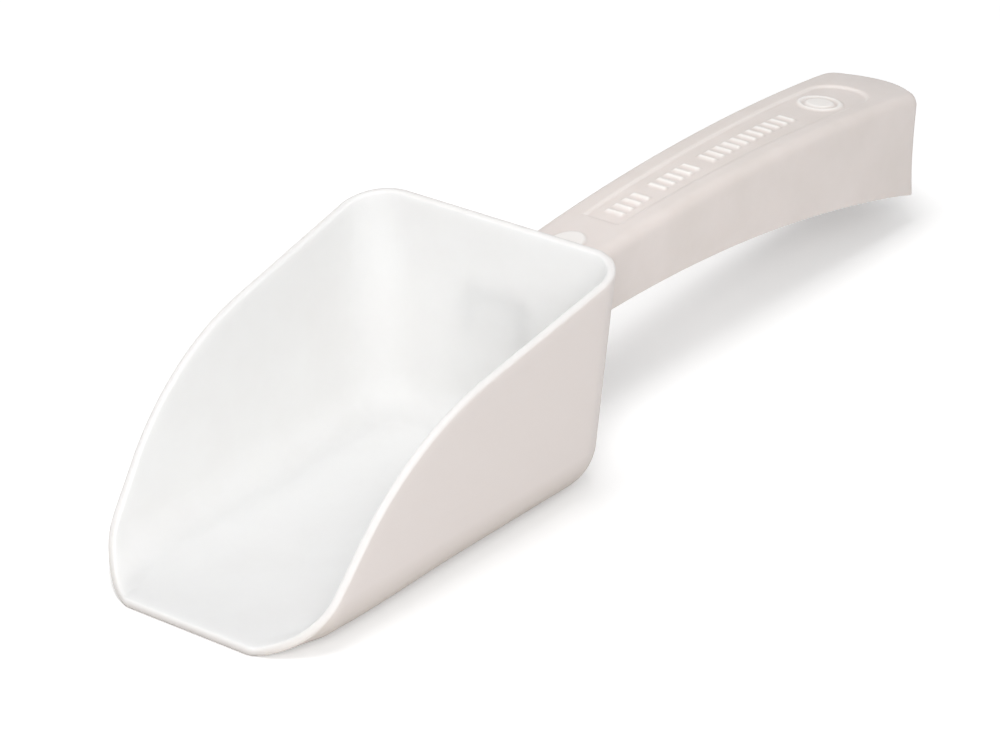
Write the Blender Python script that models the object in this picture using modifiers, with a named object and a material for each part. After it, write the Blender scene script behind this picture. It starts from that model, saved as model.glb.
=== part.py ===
"""A feed scoop in two mouldings: a bowl with a spigot behind it, and a hollow handle that snaps onto the spigot.

Frame: metres, +Z up. The underside of the bowl lies on z = 0, x = 0 is the plane of symmetry, the lip points
to -Y and the handle to +Y, and the origin is under the middle of the whole length.
Inside the functions, y is measured from the outside of the back wall at the rim, and BACK_WALL_Y is added
when the points become a mesh.
"""

import bmesh
import bpy
import numpy as np
from mathutils import Matrix

# Bowl: outside sizes
BOWL_WIDTH = 0.090  # across the rim at the back wall, before its corners are rounded
BOWL_LENGTH = 0.133  # from the back wall to the lip
BOWL_HEIGHT = 0.0665  # rim at the back wall
LIP_WIDTH = 0.0726  # across the floor at the lip, before its corners are rounded
BOWL_WALL = 0.0024
SIDE_DRAFT = 0.07  # lean of the side walls, run over rise
BACK_DRAFT = 0.012  # lean of the back wall
FLOOR_RADIUS = 0.013  # where the walls meet the floor
BACK_CORNER_RADIUS = 0.017  # at the floor
BACK_RIM_RADIUS = 0.013  # the same corners at the rim
LIP_CORNER_RADIUS = 0.017

# Rim line, as seen from the side
RIM_SLOPE = 0.193  # fall of the upper stretch, rise over run
SWEEP_RUN = 0.0433  # from the lip back to the knee where the rim turns down
KNEE_RADIUS = 0.080
LIP_RUN = 0.0077  # from the lip back to the foot of the sweep
LIP_RISE = 0.0052  # height of the foot of the sweep
FOOT_RADIUS = 0.021

# Handle: outside sizes
HANDLE_LENGTH = 0.198  # from the back wall to the middle of the end
HANDLE_DROP = 0.0213  # from the rim down to the top of the handle at its root
HANDLE_ROOT_DEPTH = 0.0173
HANDLE_ROOT_WIDTH = 0.0242
HANDLE_END_WIDTH = 0.0344
HANDLE_WALL = 0.0018
HANDLE_DRAFT = 0.015  # lean of the cheeks
HANDLE_EDGE_RADIUS = 0.003  # along the top edges
HANDLE_CORNER_RADIUS = 0.005  # the end's upright corners
HANDLE_END_CROWN = 0.0075  # how far the middle of the end stands out past its corners
TOP_SLOPE = 0.1035  # rise of the top at the root
TOP_RADIUS = 0.825  # arch of the top
BOTTOM_SLOPE = 0.0854
BOTTOM_RADIUS = 0.533  # arch of the lower edge
END_ROLL_LENGTH = 0.018  # stretch over which the top rolls down to the end
END_ROLL_DROP = 0.0012

# Ribs inside the handle
RIB_COUNT = 5
RIB_THICKNESS = 0.0016
RIB_RECESS = 0.003  # from the handle's lower edge up to the ribs
RIB_FIRST = 0.045  # from the back wall
RIB_END_MARGIN = 0.025  # from the end of the handle

# Spigot and its snap lugs
FIT_GAP = 0.0003  # clearance between the two mouldings
SPIGOT_LENGTH = 0.026
SPIGOT_WALL = 0.002
SPIGOT_RECESS = 0.003  # from the handle's lower edge up to the spigot
SPIGOT_CHAMFER = 0.001
LUG_LENGTH = 0.006
LUG_HEIGHT = 0.005
LUG_BITE = 0.0009  # how far a lug stands into its pocket
LUG_FROM_TIP = 0.005  # from the spigot's tip to the lug

BACK_WALL_Y = (BOWL_LENGTH - HANDLE_LENGTH) / 2
COLLECTION = "feed_scoop"
ARC_STEPS = 6
BOWL_ROWS = 20  # from the middle of the floor to the rim
CHEEK_ROWS = 4
TOP_ROWS = 3
PATH_SAMPLES = 60


# Outlines and lines


def fillet(before, corner, after, radius, count):
    """Points of the arc of this radius that touches both legs of a corner."""
    before, corner, after = (np.array(point, float) for point in (before, corner, after))
    back = (before - corner) / np.linalg.norm(before - corner)
    ahead = (after - corner) / np.linalg.norm(after - corner)
    half = np.arccos(np.dot(back, ahead)) / 2
    middle = (back + ahead) / np.linalg.norm(back + ahead)
    centre = corner + middle * radius / np.sin(half)
    start = corner + back * radius / np.tan(half) - centre
    end = corner + ahead * radius / np.tan(half) - centre
    turn = np.pi - 2 * half
    share = np.linspace(0, 1, count + 1)[:, None]
    return centre + (np.sin((1 - share) * turn) * start + np.sin(share * turn) * end) / np.sin(turn)


def straight(start, end, count):
    """Points strictly between two ends of a straight run."""
    share = np.linspace(0, 1, count + 1)[1:-1, None]
    return np.array(start) + share * (np.array(end) - np.array(start))


def rounding(radius, level):
    """How far a rounded edge of this radius is drawn in at a level measured from its flat side."""
    rest = np.clip(radius - level, 0, radius)
    return radius - np.sqrt(radius**2 - rest**2)


def rim_line():
    """The rim from lip to back as points (y, z): lip, foot of the sweep, knee, and the straight fall."""
    lip = (-BOWL_LENGTH, 0)
    foot = (-(BOWL_LENGTH - LIP_RUN), LIP_RISE)
    knee_y = -(BOWL_LENGTH - SWEEP_RUN)
    knee = (knee_y, BOWL_HEIGHT + RIM_SLOPE * knee_y)
    back = (0, BOWL_HEIGHT)
    return np.vstack(
        [
            lip,
            fillet(lip, foot, knee, FOOT_RADIUS, ARC_STEPS),
            fillet(foot, knee, back, KNEE_RADIUS, 2 * ARC_STEPS),
            back,
        ]
    )


def bowl_outline(level):
    """Half of the bowl's outside plan at one height, from the middle of the lip round to the middle of the back."""
    inset = rounding(FLOOR_RADIUS, level)
    lip_x = LIP_WIDTH / 2 + SIDE_DRAFT * level - inset
    back_x = BOWL_WIDTH / 2 - SIDE_DRAFT * (BOWL_HEIGHT - level) - inset
    back_y = -BACK_DRAFT * (BOWL_HEIGHT - level) - inset
    lip_middle = (0, -BOWL_LENGTH)
    lip_corner = (lip_x, -BOWL_LENGTH)
    back_corner = (back_x, back_y)
    back_middle = (0, back_y)
    lip_arc = fillet(lip_middle, lip_corner, back_corner, LIP_CORNER_RADIUS - inset, ARC_STEPS)
    tightening = (BACK_CORNER_RADIUS - BACK_RIM_RADIUS) * level / BOWL_HEIGHT
    back_arc = fillet(lip_corner, back_corner, back_middle, BACK_CORNER_RADIUS - tightening - inset, ARC_STEPS)
    return np.vstack(
        [
            lip_middle,
            straight(lip_middle, lip_arc[0], 3),
            lip_arc,
            straight(lip_arc[-1], back_arc[0], 12),
            back_arc,
            straight(back_arc[-1], back_middle, 4),
            back_middle,
        ]
    )


def handle_top(y):
    """Height of the handle's top along its length: a long arch that rolls down over the end."""
    roll = np.clip((y - (HANDLE_LENGTH - END_ROLL_LENGTH)) / END_ROLL_LENGTH, 0, 1)
    arch = BOWL_HEIGHT - HANDLE_DROP + TOP_SLOPE * y - y**2 / (2 * TOP_RADIUS)
    return arch - END_ROLL_DROP * (1 - np.sqrt(1 - roll**2))


def handle_bottom(y):
    """Height of the handle's lower edge along its length."""
    root = BOWL_HEIGHT - HANDLE_DROP - HANDLE_ROOT_DEPTH
    return root + BOTTOM_SLOPE * y - y**2 / (2 * BOTTOM_RADIUS)


def handle_half_width(y):
    """Half of the handle's width along its length, at the top."""
    return (HANDLE_ROOT_WIDTH + (HANDLE_END_WIDTH - HANDLE_ROOT_WIDTH) * y / HANDLE_LENGTH) / 2


def handle_outline(level):
    """Half of the handle's plan at one depth below its top, from the root along a cheek to the end's middle."""
    spread = HANDLE_DRAFT * level - rounding(HANDLE_EDGE_RADIUS, level)
    reach = handle_half_width(HANDLE_LENGTH - HANDLE_END_CROWN) + spread
    touch = reach - HANDLE_CORNER_RADIUS
    touch_y = HANDLE_LENGTH - HANDLE_END_CROWN * (touch / reach) ** 2
    fall = 2 * HANDLE_END_CROWN * touch / reach**2
    root = (handle_half_width(0) + spread, FIT_GAP)
    corner = (reach, touch_y - fall * HANDLE_CORNER_RADIUS)
    middle = (0, HANDLE_LENGTH)
    arc = fillet(root, corner, (touch, touch_y), HANDLE_CORNER_RADIUS, ARC_STEPS)
    across = straight(arc[-1], middle, 5)
    across[:, 1] = HANDLE_LENGTH - HANDLE_END_CROWN * (across[:, 0] / reach) ** 2
    return np.vstack([root, straight(root, arc[0], 20), arc, across, middle])


# Meshes


def add_object(name, vertices, faces, collection):
    """A mesh object from vertices measured from the back wall."""
    moved = np.array(vertices, float) + (0, BACK_WALL_Y, 0)
    mesh = bpy.data.meshes.new(name)
    mesh.from_pydata(moved.tolist(), [], faces)
    mesh.validate()
    item = bpy.data.objects.new(name, mesh)
    collection.objects.link(item)
    return item


def add_half_sheet(name, lines, collection):
    """A half sheet from lines that run from the middle to the open edge, mirrored across x = 0."""
    rows = lines.shape[1]
    vertices = lines.reshape(-1, 3)
    faces = []
    for line in range(len(lines) - 1):
        for row in range(rows - 1):
            first = line * rows + row
            faces.append((first, first + 1, first + rows + 1, first + rows))
    item = add_object(name, vertices, faces, collection)
    work = bmesh.new()
    work.from_mesh(item.data)
    bmesh.ops.remove_doubles(work, verts=work.verts, dist=0.00001)
    bmesh.ops.dissolve_degenerate(work, edges=work.edges, dist=0.00001)
    work.to_mesh(item.data)
    work.free()
    mirror = item.modifiers.new("mirror", "MIRROR")
    mirror.use_clip = True
    mirror.merge_threshold = 0.00005
    return item


def spread_rows(path, rows):
    """A path resampled so that its points stand at equal shares of its length."""
    steps = np.linalg.norm(np.diff(path, axis=0), axis=1)
    travelled = np.concatenate([[0], np.cumsum(steps)])
    wanted = np.linspace(0, travelled[-1], rows)
    return np.stack([np.interp(wanted, travelled, path[:, axis]) for axis in range(3)], axis=1)


def thicken(item, wall, side):
    """Give an open sheet its wall: on the side its faces look to (1), or behind them (-1)."""
    solidify = item.modifiers.new("wall", "SOLIDIFY")
    solidify.thickness = wall
    solidify.offset = side
    solidify.use_even_offset = True


def add_block(name, low, high, collection):
    """A box between two corners, measured from the back wall."""
    low = np.array(low, float) + (0, BACK_WALL_Y, 0)
    high = np.array(high, float) + (0, BACK_WALL_Y, 0)
    mesh = bpy.data.meshes.new(name)
    work = bmesh.new()
    bmesh.ops.create_cube(work, size=1)
    bmesh.ops.transform(work, verts=work.verts, matrix=Matrix.Diagonal([*(high - low), 1]))
    bmesh.ops.translate(work, verts=work.verts, vec=(low + high) / 2)
    work.to_mesh(mesh)
    work.free()
    item = bpy.data.objects.new(name, mesh)
    collection.objects.link(item)
    item.hide_render = True
    item.display_type = "WIRE"
    return item


def combine(item, tool, operation):
    """Join another solid to an item, or cut it away."""
    boolean = item.modifiers.new(tool.name, "BOOLEAN")
    boolean.operation = operation
    boolean.solver = "EXACT"
    boolean.object = tool


def add_material(item, name, colour, roughness):
    """A plain moulded-plastic material on one item."""
    material = bpy.data.materials.new(name)
    material.use_nodes = True
    shader = material.node_tree.nodes["Principled BSDF"]
    shader.inputs["Base Color"].default_value = (*colour, 1)
    shader.inputs["Roughness"].default_value = roughness
    shader.inputs["Metallic"].default_value = 0
    item.data.materials.append(material)


# Pieces


def spigot_box():
    """Low and high corners of the spigot: it fills the handle's root but for the fit gap."""
    half = HANDLE_ROOT_WIDTH / 2 - HANDLE_WALL - FIT_GAP
    top = handle_top(0) - HANDLE_WALL - FIT_GAP
    bottom = handle_bottom(SPIGOT_LENGTH) + SPIGOT_RECESS
    root = -BACK_DRAFT * BOWL_HEIGHT - BOWL_WALL / 2
    return (-half, root, bottom), (half, SPIGOT_LENGTH, top)


def lug_box(extra):
    """Low and high corners of the bar whose two ends are the snap lugs, grown by extra on every side."""
    (_, _, bottom), (_, tip, top) = spigot_box()
    middle = (bottom + top) / 2
    ahead = tip - LUG_FROM_TIP
    reach = handle_half_width(ahead - LUG_LENGTH) - HANDLE_WALL + LUG_BITE + extra
    low = (-reach, ahead - LUG_LENGTH - extra, middle - LUG_HEIGHT / 2 - extra)
    high = (reach, ahead + extra, middle + LUG_HEIGHT / 2 + extra)
    return low, high


def make_bowl(parts, cutters):
    """The bowl: a drafted tub trimmed along the rim line, with the cored spigot on its back wall."""
    rim = rim_line()
    levels = np.concatenate(
        [
            FLOOR_RADIUS * (1 - np.cos(np.linspace(0, np.pi / 2, PATH_SAMPLES // 2))),
            np.linspace(FLOOR_RADIUS, BOWL_HEIGHT, PATH_SAMPLES)[1:],
        ]
    )
    stack = np.stack([bowl_outline(level) for level in levels], axis=1)
    floor_ends = (-BOWL_LENGTH + LIP_CORNER_RADIUS, -BACK_CORNER_RADIUS - LIP_WIDTH / 4)
    lines = []
    for column in stack:
        above = np.interp(column[:, 1], rim[:, 0], rim[:, 1]) - levels
        top = np.interp(0, -above, levels)
        kept = np.append(levels[levels < top], top)
        wall = [np.interp(kept, levels, column[:, axis]) for axis in range(2)]
        path = np.column_stack([*wall, kept])
        middle = (0, np.clip(column[0, 1], *floor_ends), 0)
        lines.append(spread_rows(np.vstack([middle, path]), BOWL_ROWS))
    bowl = add_half_sheet("scoop_bowl", np.array(lines), parts)
    thicken(bowl, BOWL_WALL, 1)
    low, high = spigot_box()
    spigot = add_block("spigot_form", low, high, cutters)
    chamfer = spigot.modifiers.new("chamfer", "BEVEL")
    chamfer.width = SPIGOT_CHAMFER
    chamfer.segments = 1
    combine(spigot, add_block("spigot_lugs_form", *lug_box(0), cutters), "UNION")
    core_low = (low[0] + SPIGOT_WALL, 0, low[2] - SPIGOT_WALL)
    core_high = (high[0] - SPIGOT_WALL, high[1] - SPIGOT_WALL, high[2] - SPIGOT_WALL)
    combine(spigot, add_block("spigot_core_form", core_low, core_high, cutters), "DIFFERENCE")
    combine(bowl, spigot, "UNION")
    add_material(bowl, "polypropylene_bowl", (0.83, 0.82, 0.80), 0.42)


def handle_lines():
    """Lines from the middle of the top, over the rounded edge and down the cheek or end to the lower edge."""
    rounded = HANDLE_EDGE_RADIUS * (1 - np.cos(np.linspace(0, np.pi / 2, ARC_STEPS)))
    plans = [handle_outline(level) for level in rounded]
    heights = [handle_top(plan[:, 1]) - level for plan, level in zip(plans, rounded)]
    edge = plans[-1]
    edge_top = handle_top(edge[:, 1])
    side_depth = edge_top - handle_bottom(edge[:, 1]) - HANDLE_EDGE_RADIUS
    for share in np.linspace(0, 1, CHEEK_ROWS + 1)[1:]:
        depth = HANDLE_EDGE_RADIUS + share * side_depth
        lean = HANDLE_DRAFT * share * side_depth * np.sign(edge[:, 0])
        plans.append(edge + np.column_stack([lean, 0 * lean]))
        heights.append(edge_top - depth)
    sides = [np.column_stack([plan, height]) for plan, height in zip(plans, heights)]
    middle_y = np.minimum(edge[:, 1], HANDLE_LENGTH - HANDLE_END_WIDTH / 2)
    middle = np.column_stack([0 * middle_y, middle_y])
    across = [middle + share * (plans[0] - middle) for share in np.linspace(0, 1, TOP_ROWS + 1)[:-1]]
    top = [np.column_stack([row, handle_top(row[:, 1])]) for row in across]
    return np.stack(top + sides, axis=1)


def make_handle(parts, cutters):
    """The handle: an upturned tub, open below and at the root, with cross ribs and pockets for the lugs."""
    handle = add_half_sheet("handle", handle_lines(), parts)
    thicken(handle, HANDLE_WALL, -1)
    for number, y in enumerate(np.linspace(RIB_FIRST, HANDLE_LENGTH - RIB_END_MARGIN, RIB_COUNT), 1):
        half = handle_half_width(y) - HANDLE_WALL / 2
        low = (-half, y - RIB_THICKNESS / 2, handle_bottom(y) + RIB_RECESS)
        high = (half, y + RIB_THICKNESS / 2, handle_top(y) - HANDLE_WALL / 2)
        combine(handle, add_block(f"rib_form_{number}", low, high, cutters), "UNION")
    combine(handle, add_block("lug_pockets_form", *lug_box(FIT_GAP), cutters), "DIFFERENCE")
    add_material(handle, "polypropylene_handle", (0.80, 0.78, 0.75), 0.45)


def main():
    for item in list(bpy.data.objects):
        bpy.data.objects.remove(item, do_unlink=True)
    parts = bpy.data.collections.new(COLLECTION)
    cutters = bpy.data.collections.new("forms")
    for collection in (parts, cutters):
        bpy.context.scene.collection.children.link(collection)
    make_bowl(parts, cutters)
    make_handle(parts, cutters)


main()
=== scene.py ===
"""Feed scoop: the fine surfaces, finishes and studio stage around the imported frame.

Metres, +Z up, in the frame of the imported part: the bowl's underside lies on z = 0, x = 0 is the plane of
symmetry, the lip points to -Y and the handle to +Y. Shapes are worked out as whole numpy arrays with y
measured from the outside of the bowl's back wall, and the wall's own place is added last.
"""

from dataclasses import dataclass

import bmesh
import bpy
import numpy as np
from bpy.props import FloatProperty, IntProperty, PointerProperty, StringProperty
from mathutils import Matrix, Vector


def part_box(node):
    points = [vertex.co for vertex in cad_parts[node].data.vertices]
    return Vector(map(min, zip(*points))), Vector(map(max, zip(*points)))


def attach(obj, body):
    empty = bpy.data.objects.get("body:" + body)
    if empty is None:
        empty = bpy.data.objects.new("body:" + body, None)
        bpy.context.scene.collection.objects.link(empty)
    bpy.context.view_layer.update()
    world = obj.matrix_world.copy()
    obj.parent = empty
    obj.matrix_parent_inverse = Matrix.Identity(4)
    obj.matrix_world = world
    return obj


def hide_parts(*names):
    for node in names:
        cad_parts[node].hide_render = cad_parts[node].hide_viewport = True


bl_info = {
    "name": "Feed Scoop",
    "version": (1, 0, 0),
    "blender": (4, 5, 0),
    "location": "View3D > Sidebar > Scoop",
    "description": "Builds a moulded feed scoop with its finishes and studio stage",
    "category": "Add Mesh",
}

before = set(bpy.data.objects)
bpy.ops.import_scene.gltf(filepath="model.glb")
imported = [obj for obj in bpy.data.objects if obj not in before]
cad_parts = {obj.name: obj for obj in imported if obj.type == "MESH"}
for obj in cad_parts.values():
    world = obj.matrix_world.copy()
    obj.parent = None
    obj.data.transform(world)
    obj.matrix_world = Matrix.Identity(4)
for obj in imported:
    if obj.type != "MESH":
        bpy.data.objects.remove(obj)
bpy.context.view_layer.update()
BOWL_LOW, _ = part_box("scoop_bowl")
HANDLE_LOW, HANDLE_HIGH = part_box("handle")
MM = 0.001
HANDLE_GAP = 0.3 * MM  # between the back wall's rim line and the handle's root
WALL_Y = HANDLE_LOW.y - HANDLE_GAP  # place of the back wall in the frame

# Spigot, lugs and ribs, which the handle hides
SPIGOT_ROOT = -1.5 * MM  # its start, inside the back wall
SPIGOT_REACH = 26 * MM
SPIGOT_WALL = 2 * MM
RECESS = 3 * MM  # from the handle's lower edge up to the spigot and the ribs
LUG_BACK = 8 * MM  # from the spigot's tip to the middle of its lugs
LUG_SIZE = (6 * MM, 5 * MM)  # along and upright
LUG_RISE = 1.2 * MM
LUG_SLOPE = 0.6 * MM  # run of the slope round a lug
RIB_THICKNESS = 1.6 * MM
FIRST_RIB = 45 * MM  # from the back wall
LAST_RIB = 25 * MM  # back from the handle's end

# Raised relief on the handle, as places along it from the back wall and half sizes
BAR_START = 4.5 * MM  # from the panel's start to the first bar's pitch
BAR_HALF = (3.0 * MM, 1.0 * MM)  # across and along
BAR_COUNT = 22  # pitches in the whole row
BAR_SKIPS = (4, 10)  # pitches left empty, between the groups
BUTTON_Y, BUTTON_RADIUS = 161 * MM, 4.4 * MM
RING_RADIUS, RING_HALF = 6.2 * MM, 0.75 * MM
PAD_Y, PAD_HALF = 30 * MM, (5.0 * MM, 7.2 * MM)  # across and along
MARK_SLOPE = 0.7 * MM  # run of the slope round each mark
PANEL_SLOPE = 1.3 * MM  # run of the slope round the panel
LEAST_RADIUS = 1.2 * MM  # of the rounded edges of the handle's inner skin

# Grids
OUTLINE_STEPS = (12, 26, 70, 22, 18)  # half the lip, its corner, a side, a back corner, half the back
TURN_ROWS = 40  # round the floor's radius
WALL_ROWS = 90  # up the walls, and again in each finished skin of the bowl
END_CORNER_STEPS, END_STEPS = 9, 12  # round a corner of the handle's end, and across half of its face
LIP_ZONE = 75 * MM  # from the lip back to where swept columns start to take over
LIP_FADE = 40 * MM  # the run over which they do


# Sizes and colours that a user would change


def length(name, description, default):
    """A length property in metres."""
    return FloatProperty(name=name, description=description, default=default, unit="LENGTH", precision=5)


def ratio(name, description, default):
    """A plain number property."""
    return FloatProperty(name=name, description=description, default=default, precision=4)


def colour(name, description, default):
    """An sRGB colour property, as six hex digits."""
    return StringProperty(name=name, description=description, default=default)


class BowlSizes(bpy.types.PropertyGroup):
    """Outside sizes of the bowl."""

    width: length("Width", "Across the rim at the back wall, before its corners are rounded", 0.090)
    reach: length("Length", "From the back wall to the lip", WALL_Y - BOWL_LOW.y)
    height: length("Height", "Rim at the back wall", 0.0665)
    lip_width: length("Lip width", "Across the floor at the lip, before its corners are rounded", 0.0726)
    wall: length("Wall", "Thickness of the walls and floor", 0.0024)
    side_draft: ratio("Side draft", "Lean of the side walls, run over rise", 0.07)
    back_draft: ratio("Back draft", "Lean of the back wall, run over rise", 0.012)
    floor_radius: length("Floor radius", "Where the walls meet the floor", 0.013)
    back_radius: length("Back corner radius", "Upright corners at the back, at the floor", 0.017)
    rim_radius: length("Rim corner radius", "Upright corners at the back, at the rim", 0.013)
    lip_radius: length("Lip corner radius", "Corners at the lip", 0.017)
    rim_slope: ratio("Rim slope", "Fall of the rim's upper stretch, rise over run", 0.193)
    sweep_run: length("Sweep run", "From the lip back to the knee of the rim", 0.0433)
    knee_radius: length("Knee radius", "Where the rim turns down", 0.080)
    lip_run: length("Lip run", "From the lip back to the foot of the sweep", 0.0077)
    lip_rise: length("Lip rise", "Height of the foot of the sweep", 0.0052)
    foot_radius: length("Foot radius", "Where the sweep meets the lip", 0.021)
    edge: length("Edge rounding", "Rounding of the rim's edge", 0.0008)


class HandleSizes(bpy.types.PropertyGroup):
    """Outside sizes of the handle."""

    reach: length("Length", "From the back wall to the middle of the end", HANDLE_HIGH.y - WALL_Y)
    seam: length("Seam", "Open joint between the bowl's back wall and the handle's root", 0.0009)
    drop: length("Drop", "From the bowl's rim down to the top of the handle at its root", 0.0213)
    depth: length("Root depth", "Depth of the handle at its root", 0.0173)
    root_width: length("Root width", "Width at the root", 0.0242)
    end_width: length("End width", "Width at the end", 0.0344)
    wall: length("Wall", "Thickness of the channel", 0.0018)
    draft: ratio("Cheek draft", "Lean of the cheeks, run over rise", 0.015)
    edge_radius: length("Edge radius", "Along the top edges", 0.0034)
    corner_radius: length("Corner radius", "Upright corners of the end", 0.005)
    crown: length("End crown", "How far the middle of the end stands out past its corners", 0.0078)
    hollow: length("End hollow", "How far the end's face curves in below its top edge", 0.0019)
    top_slope: ratio("Top slope", "Rise of the top at the root", 0.1035)
    top_radius: length("Top radius", "Arch of the top", 0.825)
    bottom_slope: ratio("Bottom slope", "Rise of the lower edge at the root", 0.0854)
    bottom_radius: length("Bottom radius", "Arch of the lower edge", 0.533)
    roll: length("End roll", "Stretch over which the top rolls down to the end", 0.018)
    roll_drop: length("End roll drop", "How far the top rolls down", 0.0012)
    panel_start: length("Panel start", "From the back wall to the recessed panel", 0.0475)
    panel_end: length("Panel end", "From the back wall to the far end of the panel", 0.1795)
    panel_root: length("Panel half width", "Half width of the panel at its start", 0.0059)
    panel_tip: length("Panel tip half width", "Half width of the panel at its round end", 0.0093)
    panel_depth: length("Panel depth", "How far the panel is sunk", 0.0008)
    bar_pitch: length("Bar pitch", "From one raised grip bar to the next", 0.0042)
    bar_rise: length("Bar rise", "How far bars, button and pad stand up", 0.0006)
    ribs: IntProperty(name="Ribs", description="Cross ribs inside the handle", default=5, min=0)


class Finish(bpy.types.PropertyGroup):
    """Colours of the mouldings and the stage."""

    bowl: colour("Bowl", "Inside the bowl", "EBEBEA")
    bowl_worn: colour("Bowl, rubbed", "Where feed has rubbed the bowl", "E7E6E5")
    # painted shade: the outer face is the bowl's own plastic made darker, standing for the shade that falls on it
    bowl_outside_shade: colour("Bowl outside", "Outer face of the bowl", "D2CBC8")
    # painted shade: the bottom of the outer face darkens towards the floor
    bowl_foot_shade: colour("Bowl foot", "Scuffed lower edge of the bowl", "B2AAA2")
    handle: colour("Handle", "The handle", "E4DCD8")
    handle_worn: colour("Handle, flow marks", "Mottling of the handle", "DDD5D0")
    # painted highlight: a lighter colour on the raised relief and on the panel's slope, standing for the light they
    # catch
    mark: colour("Raised marks", "Raised relief on the handle", "F2EEEB")
    floor: colour("Floor", "The light table", "F7F7F7")


class Stage(bpy.types.PropertyGroup):
    """Camera and lights."""

    lens: FloatProperty(name="Lens", description="Focal length on a 36 mm sensor", default=141.8, unit="CAMERA")
    key_power: ratio("Key power", "Watts of the overhead softbox", 4.4)
    front_power: ratio("Front power", "Watts of the softbox in front of the lip", 8.0)
    table_glow: ratio("Table glow", "Light that the table gives of its own", 0.25)
    sky: ratio("Sky strength", "Brightness of the surrounding white", 0.42)


# Curves and grids


def unit(vector):
    """The vectors along the last axis, at length one."""
    return vector / np.maximum(np.linalg.norm(vector, axis=-1, keepdims=True), 1e-12)


def arc(before, corner, after, radius, count):
    """Points of the arc of a radius that touches both legs of each corner.

    The centre lies on the bisector at radius over the sine of half the angle, and the points turn from the
    first touching point to the second in equal steps.
    """
    before, corner, after = (np.asarray(point, float) for point in (before, corner, after))
    radius = np.asarray(radius, float)[..., None]
    back, ahead = unit(before - corner), unit(after - corner)
    half = np.arccos((back * ahead).sum(-1, keepdims=True)) / 2
    centre = corner + unit(back + ahead) * radius / np.sin(half)
    start = corner + back * radius / np.tan(half) - centre
    end = corner + ahead * radius / np.tan(half) - centre
    turn = (np.pi - 2 * half)[..., None, :]
    share = np.linspace(0, 1, count + 1)[:, None]
    swept = np.sin((1 - share) * turn) * start[..., None, :] + np.sin(share * turn) * end[..., None, :]
    return centre[..., None, :] + swept / np.sin(turn)


def run(start, end, count):
    """Points strictly between two ends, in equal steps along a straight line."""
    share = np.linspace(0, 1, count + 1)[1:-1, None]
    start, end = np.asarray(start, float)[..., None, :], np.asarray(end, float)[..., None, :]
    return start + share * (end - start)


def rounding(radius, level):
    """How far a rounded edge is drawn in at a level: radius less the circle's half chord."""
    rest = np.clip(radius - level, 0, radius)
    return radius - np.sqrt(radius**2 - rest**2)


def smooth(value):
    """Smooth step from 0 to 1: three times the square less twice the cube, held at both ends."""
    value = np.clip(value, 0, 1)
    return value * value * (3 - 2 * value)


def spread(path, rows):
    """Each column of a (points, columns, 3) path resampled at equal shares of its own length."""
    steps = np.linalg.norm(np.diff(path, axis=0), axis=-1)
    travelled = np.concatenate([np.zeros((1, path.shape[1])), np.cumsum(steps, axis=0)])
    wanted = np.linspace(0, 1, rows)[:, None] * travelled[-1]
    index = (travelled[None, 1:-1] <= wanted[:, None]).sum(axis=1)
    first, second = (np.take_along_axis(travelled, index + move, axis=0) for move in (0, 1))
    share = ((wanted - first) / np.maximum(second - first, 1e-9)).clip(0, 1)[..., None]
    low, high = (np.take_along_axis(path, (index + move)[..., None], axis=0) for move in (0, 1))
    return low + share * (high - low)


def grid_faces(rows, columns, closed):
    """Quads of a grid, row by row, as an array of four corners each."""
    row = np.arange(rows - 1)[:, None]
    column = np.arange(columns if closed else columns - 1)[None, :]
    after = (column + 1) % columns
    low, high = row * columns, (row + 1) * columns
    corners = (low + column, low + after, high + after, high + column)
    return np.stack([corner + 0 * row for corner in corners], axis=-1).reshape(-1, 4)


def make_object(name, points, faces, painted_light=None):
    """A smooth mesh object from points measured from the back wall, with its doubles merged.

    The painted light, 0 to 1 at each point, is stored for the material: the share of painted shade on the bowl and
    of painted highlight on the handle.
    """
    moved = np.asarray(points, float).reshape(-1, 3) + (0, WALL_Y, 0)
    mesh = bpy.data.meshes.new(name)
    mesh.from_pydata(moved.tolist(), [], [list(face) for face in faces])
    if painted_light is not None:
        mesh.attributes.new("painted_light", "FLOAT", "POINT").data.foreach_set("value", painted_light.ravel().astype(np.float32))
    work = bmesh.new()
    work.from_mesh(mesh)
    bmesh.ops.remove_doubles(work, verts=work.verts, dist=2e-6)
    bmesh.ops.dissolve_degenerate(work, edges=work.edges, dist=1e-6)
    bmesh.ops.recalc_face_normals(work, faces=work.faces)
    work.to_mesh(mesh)
    work.free()
    mesh.shade_smooth()
    item = bpy.data.objects.new(name, mesh)
    bpy.context.scene.collection.objects.link(item)
    return item


def keep(item, material, slot, *nodes):
    """Give a piece its material and body, and let it stand for its CAD nodes. The slot is not used."""
    item.data.materials.append(material)
    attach(item, "root")
    for node in nodes:
        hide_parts(node)


# Bowl


def rim_points(bowl):
    """The rim from lip to back as points (y, z): two straight stretches joined by a knee and a foot arc."""
    lip = (-bowl.reach, 0)
    foot = (-(bowl.reach - bowl.lip_run), bowl.lip_rise)
    knee_y = -(bowl.reach - bowl.sweep_run)
    knee = (knee_y, bowl.height + bowl.rim_slope * knee_y)
    back = (0, bowl.height)
    foot_arc = arc(lip, foot, knee, bowl.foot_radius, 24)
    knee_arc = arc(foot, knee, back, bowl.knee_radius, 48)
    return np.vstack([lip, foot_arc, knee_arc, back])


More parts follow.
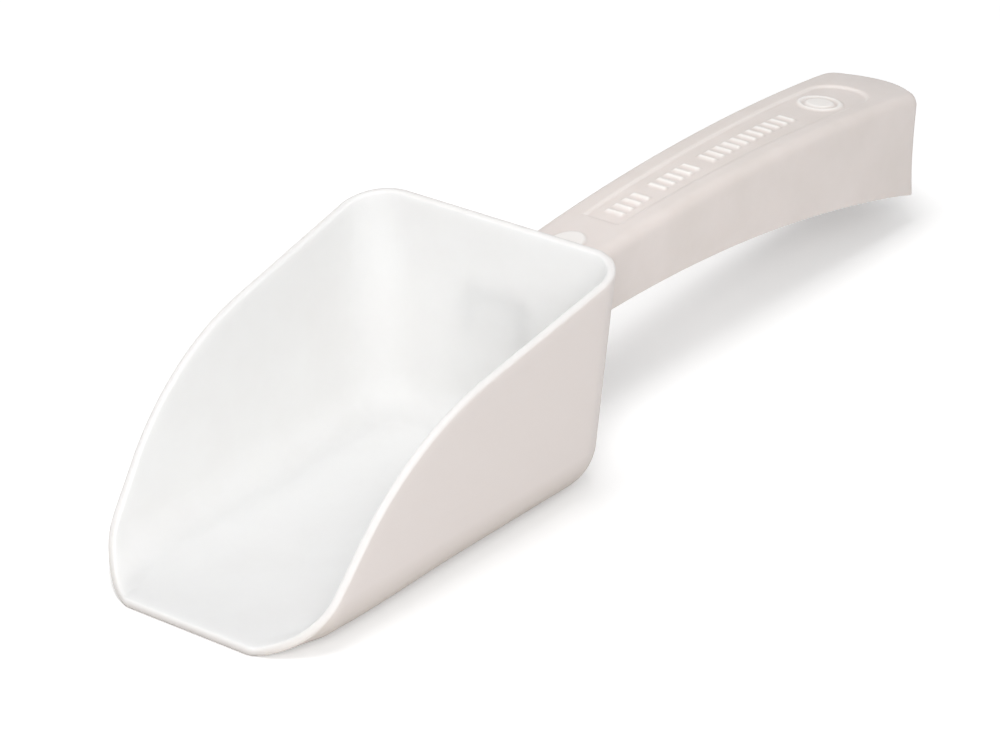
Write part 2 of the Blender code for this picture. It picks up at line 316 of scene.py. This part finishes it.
def bowl_outline(bowl, level, skin):
    """Half of the bowl's plan at each level: middle of the lip, lip corner, side, back corner, middle of the back.

    The half width is the width at the rim less the draft times the fall from it, and the floor's rounding draws
    all but the lip further in. The skin is 0 outside, and the wall's thickness inside. The back corners'
    radius falls evenly from floor to rim.
    """
    inset = rounding(bowl.floor_radius - skin, level - skin)
    lip_x = bowl.lip_width / 2 + bowl.side_draft * level - inset - skin
    back_x = bowl.width / 2 - bowl.side_draft * (bowl.height - level) - inset - skin
    back_y = -bowl.back_draft * (bowl.height - level) - inset - skin
    back_radius = bowl.back_radius + (bowl.rim_radius - bowl.back_radius) * level / bowl.height
    lip_y = np.full_like(level, bowl.edge - bowl.reach)
    lip_middle, lip_corner = np.stack([0 * lip_x, lip_y], -1), np.stack([lip_x, lip_y], -1)
    back_corner, back_middle = np.stack([back_x, back_y], -1), np.stack([0 * back_x, back_y], -1)
    lip_steps, lip_turn, side_steps, back_turn, back_steps = OUTLINE_STEPS
    lip_arc = arc(lip_middle, lip_corner, back_corner, bowl.lip_radius - skin - inset, lip_turn)
    back_arc = arc(lip_corner, back_corner, back_middle, back_radius - skin - inset, back_turn)
    return np.concatenate(
        [
            lip_middle[:, None],
            run(lip_middle, lip_arc[:, 0], lip_steps),
            lip_arc,
            run(lip_arc[:, -1], back_arc[:, 0], side_steps),
            back_arc,
            run(back_arc[:, -1], back_middle, back_steps),
            back_middle[:, None],
        ],
        axis=1,
    )


def bowl_paths(bowl, skin):
    """Half of one skin as columns from the floor's middle line out and up to the rim.

    Every column runs straight across the floor, round the floor's radius and up the drafted wall, and stops
    where its height meets the rim line, lowered by the edge's rounding and never below the skin's own floor.
    """
    turn = np.linspace(0, np.pi / 2, TURN_ROWS)
    curved = skin + (bowl.floor_radius - skin) * (1 - np.cos(turn))
    levels = np.concatenate([curved, np.linspace(bowl.floor_radius, bowl.height, WALL_ROWS)[1:]])
    plan = bowl_outline(bowl, levels, skin)
    rim = rim_points(bowl)
    lowered = rim + bowl.edge * unit(np.gradient(rim, axis=0))[:, ::-1] * (1, -1)
    limit = np.maximum(np.interp(plan[..., 1], lowered[:, 0], lowered[:, 1]), skin)
    above = limit - levels[:, None]
    over = np.clip((above <= 0).argmax(axis=0), 1, None)
    last = np.arange(plan.shape[1])
    share = (above[over - 1, last] / (above[over - 1, last] - above[over, last])).clip(0, 1)[:, None]
    solid = np.concatenate([plan, np.broadcast_to(levels[:, None, None], (*plan.shape[:2], 1))], axis=-1)
    end = solid[over - 1, last] + share * (solid[over, last] - solid[over - 1, last])
    path = np.where((np.arange(len(levels))[:, None] < over)[..., None], solid, end)
    middle_y = np.clip(plan[0, :, 1], -bowl.reach + bowl.lip_radius, -bowl.back_radius - bowl.lip_width / 4)
    middle = np.stack([0 * middle_y, middle_y, skin + 0 * middle_y], axis=-1)
    return np.concatenate([middle[None], path])


def swept_paths(middle, end, radius, draft):
    """Columns from the middle line to given rim points, each in its own upright plane.

    Straight across the floor, an arc of the radius until its height is the end's or it stands upright, and then
    on to the end with the draft. Also returns the inward normals at the ends.
    """
    run_out = (end - middle) * (1, 1, 0)
    distance = np.linalg.norm(run_out, axis=-1, keepdims=True)
    heading = run_out / np.maximum(distance, 1e-9)
    rise = (end - middle)[..., 2:]
    foot = distance - draft * np.maximum(rise - radius, 0)
    full = np.arccos(np.clip(1 - rise / radius, 0, 1))
    angle = full * np.linspace(0, 1, TURN_ROWS)[:, None, None]
    reach = foot - radius * (np.sin(full) - np.sin(angle))
    up = np.array((0, 0, 1))
    curve = middle + heading * reach + up * radius * (1 - np.cos(angle))
    return np.concatenate([middle[None], curve, end[None]]), up * np.cos(full) - heading * np.sin(full)


def bowl_skins(bowl):
    """Outer and inner skins of the bowl, all the way round.

    The back half follows the plan outlines. Towards the lip they give way to swept columns, so that the
    floor's radius fades out evenly at the lip corners, and there the inner rim stands off the outer one by
    the wall along its normal.
    """
    outer, inner = bowl_paths(bowl, 0), bowl_paths(bowl, bowl.wall)
    swept, normal = swept_paths(outer[0], outer[-1], bowl.floor_radius, bowl.side_draft)
    floor_inside, rim_inside = outer[0] + (0, 0, bowl.wall), outer[-1] + bowl.wall * normal
    swept_inner, _ = swept_paths(floor_inside, rim_inside, bowl.floor_radius - bowl.wall, bowl.side_draft)
    weight = smooth((-outer[-1, :, 1] - bowl.reach + LIP_ZONE) / LIP_FADE)[:, None]
    halves = []
    for outline, sweep in ((outer, swept), (inner, swept_inner)):
        half = spread(outline, WALL_ROWS) * (1 - weight) + spread(sweep, WALL_ROWS) * weight
        halves.append(np.concatenate([half, half[:, -2:0:-1] * (-1, 1, 1)], axis=1))
    return halves


def rounded_edge(outer, inner, out, bulge, rows, closed):
    """Rows that close a wall's open edge: a superellipse of power 2.6 across the wall, out by the bulge.

    It stands out square to both the edge and the wall, on the side that out points to.
    """
    middle = (outer + inner) / 2
    before, after = 2 * middle[:1] - middle[1:2], 2 * middle[-1:] - middle[-2:-1]
    if closed:
        before, after = middle[-1:], middle[:1]
    line = np.concatenate([before, middle, after])
    away = unit(np.cross(unit(line[2:] - line[:-2]), inner - outer))
    away = away * np.sign((away * out).sum(-1, keepdims=True))
    angle = np.linspace(0, np.pi, rows + 2)[1:-1, None, None]
    power = 2 / 2.6
    swing = np.sign(np.cos(angle)) * np.abs(np.cos(angle)) ** power
    return middle + swing * (outer - inner) / 2 + np.sin(angle) ** power * bulge * away


def bowl_shell(bowl):
    """The whole bowl as one closed grid of outer skin, rounded rim and inner skin.

    Also how much of the outer face's painted shade each point has: all outside, none inside, and falling over the
    rim.
    """
    outer, inner = bowl_skins(bowl)
    edge = rounded_edge(outer[-1], inner[-1], (0, -0.7, 0.7), bowl.edge, 7, True)
    grid = np.concatenate([outer, edge, inner[::-1]])
    outside = np.zeros(grid.shape[:2])
    outside[: len(outer)] = 1
    outside[len(outer) : len(outer) + len(edge)] = np.linspace(0.75, 0.1, len(edge))[:, None]
    return grid, grid_faces(len(grid), grid.shape[1], True), outside


# Handle


def handle_top(handle, bowl, y):
    """Height of the top: root height plus slope times y, less y squared over twice the radius, less the roll."""
    roll = np.clip((y - handle.reach + handle.roll) / handle.roll, 0, 1)
    arch = bowl.height - handle.drop + handle.top_slope * y - y**2 / (2 * handle.top_radius)
    return arch - handle.roll_drop * roll**2


def handle_bottom(handle, bowl, y):
    """Height of the lower edge: root height plus slope times y, less y squared over twice the radius."""
    root = bowl.height - handle.drop - handle.depth
    return root + handle.bottom_slope * y - y**2 / (2 * handle.bottom_radius)


def half_width(handle, y):
    """Half of the handle's width: a straight taper from root to end."""
    return (handle.root_width + (handle.end_width - handle.root_width) * y / handle.reach) / 2


def panel_inside(handle, x, y):
    """How far a point lies inside the panel: the least distance to its sides and start, or to its round end."""
    centre = handle.panel_end - handle.panel_tip
    share = (y - handle.panel_start) / (centre - handle.panel_start)
    half = handle.panel_root + (handle.panel_tip - handle.panel_root) * share
    straight = np.minimum(half - np.abs(x), y - handle.panel_start)
    return np.where(y < centre, straight, handle.panel_tip - np.hypot(x, y - centre))


def raised_marks(handle, x, y):
    """0 to 1 over the raised relief: plain cross bars in groups, a round button with a ring, an oval pad.

    Each outline is a distance, positive inside it: half a bar's size less the offset from its middle, the
    radius less the distance from the button's, and one less the ellipse's own radius for the pad.
    """
    number, place = np.divmod(y - handle.panel_start - BAR_START, handle.bar_pitch)
    in_group = (number >= 0) & (number < BAR_COUNT) & ~np.isin(number, BAR_SKIPS)
    bar = BAR_HALF[1] - np.abs(place - handle.bar_pitch / 2)
    bars = np.where(in_group, np.minimum(bar, BAR_HALF[0] - np.abs(x)), -MM)
    distance = np.hypot(x, y - BUTTON_Y)
    button = np.maximum(BUTTON_RADIUS - distance, RING_HALF - np.abs(distance - RING_RADIUS))
    pad = (1 - np.hypot(x / PAD_HALF[0], (y - PAD_Y) / PAD_HALF[1])) * PAD_HALF[0]
    inside = np.maximum(np.maximum(bars, button), pad)
    return smooth(inside / MARK_SLOPE + 0.35)


@dataclass
class Channel:
    """An upturned tub that follows the handle: its run along y, its end, and its skins' insets from the outside."""

    start: float
    end: float
    crown: float
    hollow: float
    recess: float
    outside: float
    inside: float
    columns: int


def channel_plan(handle, channel, level, inset):
    """The plan of one skin at each level, from the root along one side, round the end and back along the other.

    The half width is the handle's taper plus the cheek's draft times the level, less the inset and the top
    edge's rounding. A corner arc turns into the end, a parabola that stands out by the crown.
    """
    out = handle.draft * level - rounding(max(handle.edge_radius - inset, LEAST_RADIUS), level) - inset
    tip = channel.end - (inset - channel.outside)
    reach = half_width(handle, channel.end - channel.crown) + out
    corner_radius = np.full_like(level, max(handle.corner_radius - inset, LEAST_RADIUS))
    touch = reach - corner_radius
    touch_y = tip - channel.crown * (touch / reach) ** 2
    fall = 2 * channel.crown * touch / reach**2
    root = np.stack([half_width(handle, channel.start) + out, channel.start + 0 * out], -1)
    corner = np.stack([reach, touch_y - fall * corner_radius], -1)
    turned = arc(root, corner, np.stack([touch, touch_y], -1), corner_radius, END_CORNER_STEPS)
    cheek = root[:, None] + np.linspace(0, 1, channel.columns)[:-1, None] * (turned[:, :1] - root[:, None])
    across_x = turned[:, -1:, 0] * np.linspace(1, 0, END_STEPS + 1)[1:]
    across = np.stack([across_x, tip - channel.crown * (across_x / reach[:, None]) ** 2], -1)
    half = np.concatenate([cheek, turned, across], axis=1)
    return np.concatenate([half, half[:, -2::-1] * (-1, 1)], axis=1)


def channel_skin(handle, bowl, channel, inset):
    """One skin, from the middle of the top over the rounded edge and down the cheeks and end to the lower edge.

    The end's face curves in below the top by the hollow times the sine of 0.77 of a half turn times the share
    of the way down. Returns the grid and its number of top rows.
    """
    top_rows, edge_rows, side_rows = 26, 8, 18
    radius = max(handle.edge_radius - inset, LEAST_RADIUS)
    levels = radius * (1 - np.cos(np.linspace(0, np.pi / 2, edge_rows)))
    plans = channel_plan(handle, channel, levels, inset)
    edge = plans[-1]
    middle_y = np.minimum(plans[0][:, 1], channel.end - half_width(handle, channel.end))
    middle = np.stack([0 * middle_y, middle_y], -1)
    flat = middle + np.linspace(0, 1, top_rows + 1)[:-1, None, None] * (plans[0] - middle)
    flat_z = handle_top(handle, bowl, flat[..., 1]) - inset
    edge_z = handle_top(handle, bowl, plans[..., 1]) - inset - levels[:, None]
    depth = edge_z[-1] - handle_bottom(handle, bowl, edge[:, 1]) - channel.recess
    down = np.linspace(0, 1, side_rows + 1)[1:, None]
    ending = smooth((edge[:, 1] - channel.end + 2.2 * channel.crown) / (1.6 * channel.crown + MM))
    hollow = channel.hollow * np.sin(0.77 * np.pi * down) * ending
    side_xy = edge + np.stack([handle.draft * down * depth * np.sign(edge[:, 0]), -hollow], -1)
    xy = np.concatenate([flat, plans, side_xy])
    z = np.concatenate([flat_z, edge_z, edge_z[-1] - down * depth])
    return np.concatenate([xy, z[..., None]], axis=-1), top_rows


def with_relief(handle, skin, top_rows):
    """The top sunk inside the panel and raised over the marks.

    Also how much of the marks' painted highlight each point has: the marks' own rise or, on the slope round the
    panel, 2.2 times how far down it is times how far up it is.
    """
    x, y = skin[..., 0], skin[..., 1]
    on_top = np.arange(len(skin))[:, None] <= top_rows
    sunk = smooth(panel_inside(handle, x, y) / PANEL_SLOPE + 0.5) * on_top
    marks = raised_marks(handle, x, y) * on_top
    skin[..., 2] += handle.bar_rise * marks - handle.panel_depth * sunk
    return np.maximum(marks, 2.2 * sunk * (1 - sunk))


def push_snap(handle, bowl, skin, grow, push):
    """Push both cheeks outwards over the snap lug's place: by the push times two smooth windows in y and z."""
    middle_y = SPIGOT_REACH - LUG_BACK
    middle_z = (handle_top(handle, bowl, middle_y) + handle_bottom(handle, bowl, middle_y)) / 2
    along = smooth((LUG_SIZE[0] / 2 + grow - np.abs(skin[..., 1] - middle_y)) / LUG_SLOPE + 0.5)
    upright = smooth((LUG_SIZE[1] / 2 + grow - np.abs(skin[..., 2] - middle_z)) / LUG_SLOPE + 0.5)
    skin[..., 0] += np.sign(skin[..., 0]) * push * along * upright


def channel_shell(outer, inner, painted_light):
    """A channel as one closed skin: outer and inner skins, a rounded lower edge, and a cap over the root.

    The outer skin keeps its share of painted light, and the rest has none.
    """
    edge = rounded_edge(outer[-1], inner[-1], (0, 0, -1), 0.5 * MM, 5, False)
    grid = np.concatenate([outer, edge, inner[::-1]])
    painted_light = np.concatenate([painted_light, np.zeros((len(edge) + len(inner), grid.shape[1]))])
    total, columns = grid.shape[:2]
    faces = grid_faces(total, columns, False).tolist()
    deep = len(outer)
    row = np.arange(deep - 1)
    for column in (0, columns - 1):
        rung = (row, row + 1, total - 2 - row, total - 1 - row)
        faces += np.stack([part * columns + column for part in rung], -1).tolist()
        faces.append([part * columns + column for part in range(deep - 1, total - deep + 1)])
    return grid, faces, painted_light


def slab(middle, size, rows=9):
    """A box with softly rounded edges, as a superellipsoid: signed powers of sines and cosines, scaled to size."""
    around = np.linspace(0, 2 * np.pi, 33)[:-1]
    lift = np.linspace(-np.pi / 2, np.pi / 2, rows)[:, None]
    power = 0.22
    ring = np.abs(np.cos(lift)) ** power
    ring[[0, -1]] = 0
    x = np.sign(np.cos(around)) * np.abs(np.cos(around)) ** power * ring
    z = np.sign(np.sin(around)) * np.abs(np.sin(around)) ** power * ring
    y = np.sign(np.sin(lift)) * np.abs(np.sin(lift)) ** power + 0 * around
    points = np.stack([x, y, z], -1) * np.asarray(size) / 2 + np.asarray(middle)
    return points, grid_faces(rows, len(around), True)


def joined(parts):
    """Several grids of points and faces as one."""
    points, faces, start = [], [], 0
    for grid, quads in parts:
        points.append(grid.reshape(-1, 3))
        faces.append(quads + start)
        start += len(points[-1])
    return np.concatenate(points), np.concatenate(faces)


# Materials


def linear(code):
    """An sRGB hex colour as linear red, green, blue and alpha."""
    channels = [int(code[start : start + 2], 16) / 255 for start in (0, 2, 4)]
    return [c / 12.92 if c <= 0.04045 else ((c + 0.055) / 1.055) ** 2.4 for c in channels] + [1.0]


def add_node(tree, kind, settings=None, values=None, links=None):
    """Add a node, set its options and socket values, and link its inputs."""
    node = tree.nodes.new(kind)
    for name, value in (settings or {}).items():
        setattr(node, name, value)
    for name, value in (values or {}).items():
        node.inputs[name].default_value = value
    for name, socket in (links or {}).items():
        tree.links.new(socket, node.inputs[name])
    return node


def start_material(name):
    """An empty node material and its output node."""
    material = bpy.data.materials.new(name)
    material.use_nodes = True
    material.node_tree.nodes.clear()
    return material, material.node_tree, add_node(material.node_tree, "ShaderNodeOutputMaterial")


def moulded_polypropylene(name, base, worn, painted_light, mottle_mm, scatter, foot=None):
    """White injection-moulded polypropylene.

    A waxy, slightly translucent plastic: soft sheen, edges that glow a little, faint flow mottling from the
    mould, a fine eroded grain and, where hands or feed have rubbed, a few long hairline scuffs. The painted
    light colour is mixed in where the mesh's painted_light attribute says so: painted shade on the bowl's outer
    face, painted highlight on the handle's raised relief. The foot colour is painted shade at the bottom of
    that, darker towards the floor.
    """
    material, tree, output = start_material(name)
    place = add_node(tree, "ShaderNodeTexCoord").outputs["Object"]
    mottle = add_node(
        tree,
        "ShaderNodeTexNoise",
        values={"Scale": 1000 / mottle_mm, "Detail": 4.0, "Roughness": 0.55},
        links={"Vector": place},
    )
    tone = add_node(
        tree,
        "ShaderNodeMapRange",
        values={"From Min": 0.38, "From Max": 0.72},
        links={"Value": mottle.outputs["Fac"]},
    )
    shade = add_node(
        tree,
        "ShaderNodeMix",
        {"data_type": "RGBA"},
        values={"A": linear(base), "B": linear(worn)},
        links={"Factor": tone.outputs["Result"]},
    )
    # share of painted light at each point: painted shade on the bowl's outside, painted highlight on the handle's
    # relief
    painted_light_share = add_node(tree, "ShaderNodeAttribute", {"attribute_name": "painted_light"}).outputs["Fac"]
    shade = add_node(
        tree,
        "ShaderNodeMix",
        {"data_type": "RGBA"},
        values={"B": linear(painted_light)},
        links={"Factor": painted_light_share, "A": shade.outputs["Result"]},
    )
    if foot:
        # painted shade: the outside darkens over the lowest 14 mm, towards the floor
        level = add_node(tree, "ShaderNodeSeparateXYZ", links={"Vector": place}).outputs["Z"]
        low = add_node(
            tree, "ShaderNodeMapRange", values={"From Min": 14 * MM, "From Max": 0.5 * MM}, links={"Value": level}
        )
        painted_foot_shade = add_node(
            tree, "ShaderNodeMath", {"operation": "MULTIPLY"}, links={0: low.outputs["Result"], 1: painted_light_share}
        )
        shade = add_node(
            tree,
            "ShaderNodeMix",
            {"data_type": "RGBA"},
            values={"B": linear(foot)},
            links={"Factor": painted_foot_shade.outputs["Value"], "A": shade.outputs["Result"]},
        )
    # eroded mould grain, about 0.35 mm from crest to crest
    grain = add_node(
        tree, "ShaderNodeTexNoise", values={"Scale": 1000 / 0.35, "Detail": 2.0}, links={"Vector": place}
    )
    # scuffs are hairlines about 0.9 mm apart and some 25 mm long, running nearly lengthways, coarser than
    # real ones so that they show
    stretch = add_node(
        tree,
        "ShaderNodeMapping",
        values={"Scale": (1.0, 0.035, 1.0), "Rotation": (0, 0, 0.12)},
        links={"Vector": place},
    )
    scuff = add_node(
        tree,
        "ShaderNodeTexNoise",
        values={"Scale": 1000 / 0.9, "Detail": 3.0, "Roughness": 0.6},
        links={"Vector": stretch.outputs["Vector"]},
    )
    scuffed = add_node(
        tree,
        "ShaderNodeMapRange",
        values={"From Min": 0.56, "From Max": 0.72},
        links={"Value": scuff.outputs["Fac"]},
    )
    gloss = add_node(
        tree,
        "ShaderNodeMapRange",
        values={"To Min": 0.50, "To Max": 0.64},
        links={"Value": scuffed.outputs["Result"]},
    )
    height = add_node(
        tree,
        "ShaderNodeMath",
        {"operation": "MULTIPLY_ADD"},
        values={1: -0.6},  # scuffs are cut in by 0.6 of the grain's height
        links={0: scuffed.outputs["Result"], 2: grain.outputs["Fac"]},
    )
    bump = add_node(
        tree,
        "ShaderNodeBump",
        values={"Strength": 0.35, "Distance": 0.04 * MM},
        links={"Height": height.outputs["Value"]},
    )
    shader = add_node(
        tree,
        "ShaderNodeBsdfPrincipled",
        values={
            "IOR": 1.49,
            "Subsurface Weight": 1.0,
            "Subsurface Radius": (1.0, 0.99, 0.97),
            "Subsurface Scale": scatter,
            "Specular IOR Level": 0.28,
        },
        links={
            "Base Color": shade.outputs["Result"],
            "Roughness": gloss.outputs["Result"],
            "Normal": bump.outputs["Normal"],
        },
    )
    tree.links.new(shader.outputs["BSDF"], output.inputs["Surface"])
    return material


def light_table(code, glow):
    """White acrylic light table: an even matt white with a faint tooth of about 1 mm.

    Its own glow washes faint shadows out and is seen by the camera alone, so it lights nothing.
    """
    material, tree, output = start_material("white_acrylic_light_table")
    place = add_node(tree, "ShaderNodeTexCoord").outputs["Object"]
    tooth = add_node(
        tree, "ShaderNodeTexNoise", values={"Scale": 900.0, "Detail": 2.0}, links={"Vector": place}
    )
    bump = add_node(
        tree,
        "ShaderNodeBump",
        values={"Strength": 0.05, "Distance": 0.05 * MM},
        links={"Height": tooth.outputs["Fac"]},
    )
    shader = add_node(
        tree,
        "ShaderNodeBsdfPrincipled",
        values={"Base Color": linear(code), "Roughness": 0.9, "Specular IOR Level": 0.1},
        links={"Normal": bump.outputs["Normal"]},
    )
    seen = add_node(tree, "ShaderNodeLightPath").outputs["Is Camera Ray"]
    strength = add_node(tree, "ShaderNodeMath", {"operation": "MULTIPLY"}, values={1: glow}, links={0: seen})
    own = add_node(tree, "ShaderNodeEmission", links={"Strength": strength.outputs["Value"]})
    both = add_node(tree, "ShaderNodeAddShader", links={0: shader.outputs["BSDF"], 1: own.outputs["Emission"]})
    tree.links.new(both.outputs["Shader"], output.inputs["Surface"])
    return material


def white_surroundings(strength):
    """An even white studio: the given strength as light, and plain white where the camera looks past the table."""
    world = bpy.data.worlds.new("white_surroundings")
    world.use_nodes = True
    tree = world.node_tree
    seen = add_node(tree, "ShaderNodeLightPath").outputs["Is Camera Ray"]
    level = add_node(tree, "ShaderNodeMapRange", values={"To Min": strength, "To Max": 1.0}, links={"Value": seen})
    background = tree.nodes["Background"]
    background.inputs["Color"].default_value = (1, 1, 1, 1)
    tree.links.new(level.outputs["Result"], background.inputs["Strength"])
    return world


# Operators


class SCOOP_OT_bowl(bpy.types.Operator):
    """Build the bowl with its rounded rim"""

    bl_idname = "scoop.bowl"
    bl_label = "Bowl"

    def execute(self, context):
        scene = context.scene
        # outside is the share of the outer face's painted shade at each point
        grid, faces, outside = bowl_shell(scene.scoop_bowl)
        bowl = make_object("bowl_moulding", grid, faces, outside)
        finish = scene.scoop_finish
        material = moulded_polypropylene(
            "moulded_polypropylene_bowl",
            finish.bowl,
            finish.bowl_worn,
            finish.bowl_outside_shade,
            mottle_mm=38,
            scatter=6.0 * MM,
            # painted shade along the bottom of the outer face
            foot=finish.bowl_foot_shade,
        )
        keep(bowl, material, "bowl_plastic", "scoop_bowl")
        return {"FINISHED"}


class SCOOP_OT_spigot(bpy.types.Operator):
    """Build the hollow spigot behind the back wall, with its snap lugs"""

    bl_idname = "scoop.spigot"
    bl_label = "Spigot"

    def execute(self, context):
        bowl, handle = context.scene.scoop_bowl, context.scene.scoop_handle
        outside = handle.wall + HANDLE_GAP
        inside = outside + SPIGOT_WALL
        channel = Channel(
            start=SPIGOT_ROOT,
            end=SPIGOT_REACH,
            crown=0,
            hollow=0,
            recess=RECESS,
            outside=outside,
            inside=inside,
            columns=50,
        )
        outer, inner = (channel_skin(handle, bowl, channel, inset)[0] for inset in (outside, inside))
        push_snap(handle, bowl, outer, 0, LUG_RISE)
        grid, faces, _ = channel_shell(outer, inner, np.zeros(outer.shape[:2]))
        spigot = make_object("spigot", grid, faces)
        keep(spigot, bpy.data.materials["moulded_polypropylene_bowl"], "bowl_plastic", "scoop_bowl")
        return {"FINISHED"}


class SCOOP_OT_handle(bpy.types.Operator):
    """Build the hollow handle with its relief and the pockets for the lugs"""

    bl_idname = "scoop.handle"
    bl_label = "Handle"

    def execute(self, context):
        scene = context.scene
        bowl, handle, finish = scene.scoop_bowl, scene.scoop_handle, scene.scoop_finish
        channel = Channel(
            start=handle.seam,
            end=handle.reach,
            crown=handle.crown,
            hollow=handle.hollow,
            recess=0,
            outside=0,
            inside=handle.wall,
            columns=310,
        )
        outer, top_rows = channel_skin(handle, bowl, channel, channel.outside)
        inner, _ = channel_skin(handle, bowl, channel, channel.inside)
        push_snap(handle, bowl, inner, HANDLE_GAP, LUG_RISE)
        # marks is the share of painted highlight on the raised relief and round the panel's slope
        marks = with_relief(handle, outer, top_rows)
        grid, faces, painted_light = channel_shell(outer, inner, marks)
        item = make_object("handle_moulding", grid, faces, painted_light)
        material = moulded_polypropylene(
            "moulded_polypropylene_handle",
            finish.handle,
            finish.handle_worn,
            finish.mark,
            mottle_mm=30,
            scatter=0.9 * MM,
        )
        keep(item, material, "handle_plastic", "handle")
        return {"FINISHED"}


class SCOOP_OT_ribs(bpy.types.Operator):
    """Build the cross ribs inside the handle"""

    bl_idname = "scoop.ribs"
    bl_label = "Ribs"

    def execute(self, context):
        bowl, handle = context.scene.scoop_bowl, context.scene.scoop_handle
        parts = []
        for y in np.linspace(FIRST_RIB, handle.reach - LAST_RIB, handle.ribs):
            top = handle_top(handle, bowl, y) - handle.panel_depth - handle.wall / 2
            bottom = handle_bottom(handle, bowl, y) + RECESS
            half = half_width(handle, y) - handle.wall / 2
            parts.append(slab((0, y, (top + bottom) / 2), (2 * half, RIB_THICKNESS, top - bottom)))
        points, faces = joined(parts)
        ribs = make_object("handle_ribs", points, faces)
        keep(ribs, bpy.data.materials["moulded_polypropylene_handle"], "handle_plastic", "handle")
        return {"FINISHED"}


def add_light(name, place, target, size, power):
    """A square softbox at a place, facing a target."""
    data = bpy.data.lights.new(name, "AREA")
    data.shape = "SQUARE"
    data.size = size
    data.energy = power
    light = bpy.data.objects.new(name, data)
    light.location = place
    light.rotation_euler = (Vector(target) - Vector(place)).to_track_quat("-Z", "Y").to_euler()
    bpy.context.scene.collection.objects.link(light)


class SCOOP_OT_stage(bpy.types.Operator):
    """Set the floor, the softboxes, the white surroundings and the camera"""

    bl_idname = "scoop.stage"
    bl_label = "Stage"

    def execute(self, context):
        scene = context.scene
        stage = scene.scoop_stage
        half = 3.0  # of the table's side
        corners = [(-half, -half, 0), (half, -half, 0), (half, half, 0), (-half, half, 0)]
        mesh = bpy.data.meshes.new("studio_floor")
        mesh.from_pydata(corners, [], [(0, 1, 2, 3)])
        floor = bpy.data.objects.new("studio_floor", mesh)
        floor.data.materials.append(light_table(scene.scoop_finish.floor, stage.table_glow))
        scene.collection.objects.link(floor)

        add_light("key_softbox", (-0.10, -0.15, 1.0), (0, 0, 0.03), size=0.6, power=stage.key_power)
        add_light("front_softbox", (0.66, -0.88, 0.6), (0, 0, 0.04), size=0.7, power=stage.front_power)

        scene.world = white_surroundings(stage.sky)
        scene.view_settings.view_transform = "Standard"

        data = bpy.data.cameras.new("camera")
        data.lens = stage.lens
        data.sensor_width = 36.0
        camera = bpy.data.objects.new("camera", data)
        place = Vector((0.5777, WALL_Y - 0.7753, 0.5057))
        target = Vector((0.01309, WALL_Y - 0.01767, 0.032))
        camera.location = place
        camera.rotation_euler = (target - place).to_track_quat("-Z", "Y").to_euler()
        scene.collection.objects.link(camera)
        scene.camera = camera
        return {"FINISHED"}


STEPS = (SCOOP_OT_stage, SCOOP_OT_bowl, SCOOP_OT_spigot, SCOOP_OT_handle, SCOOP_OT_ribs)


class SCOOP_PT_panel(bpy.types.Panel):
    """Feed scoop pieces"""

    bl_idname = "SCOOP_PT_panel"
    bl_label = "Feed Scoop"
    bl_space_type = "VIEW_3D"
    bl_region_type = "UI"
    bl_category = "Scoop"

    def draw(self, context):
        for step in STEPS:
            self.layout.operator(step.bl_idname)


GROUPS = {"scoop_bowl": BowlSizes, "scoop_handle": HandleSizes, "scoop_finish": Finish, "scoop_stage": Stage}


def register():
    """Register every class and hang the property groups on the scene."""
    for group in GROUPS.values():
        bpy.utils.register_class(group)
    for name, group in GROUPS.items():
        setattr(bpy.types.Scene, name, PointerProperty(type=group))
    for step in (*STEPS, SCOOP_PT_panel):
        bpy.utils.register_class(step)


def unregister():
    """Undo register."""
    for step in (SCOOP_PT_panel, *STEPS):
        bpy.utils.unregister_class(step)
    for name, group in GROUPS.items():
        delattr(bpy.types.Scene, name)
        bpy.utils.unregister_class(group)


def main():
    """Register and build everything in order."""
    register()
    bpy.ops.scoop.stage()
    bpy.ops.scoop.bowl()
    bpy.ops.scoop.spigot()
    bpy.ops.scoop.handle()
    bpy.ops.scoop.ribs()


if __name__ == "__main__":
    main()
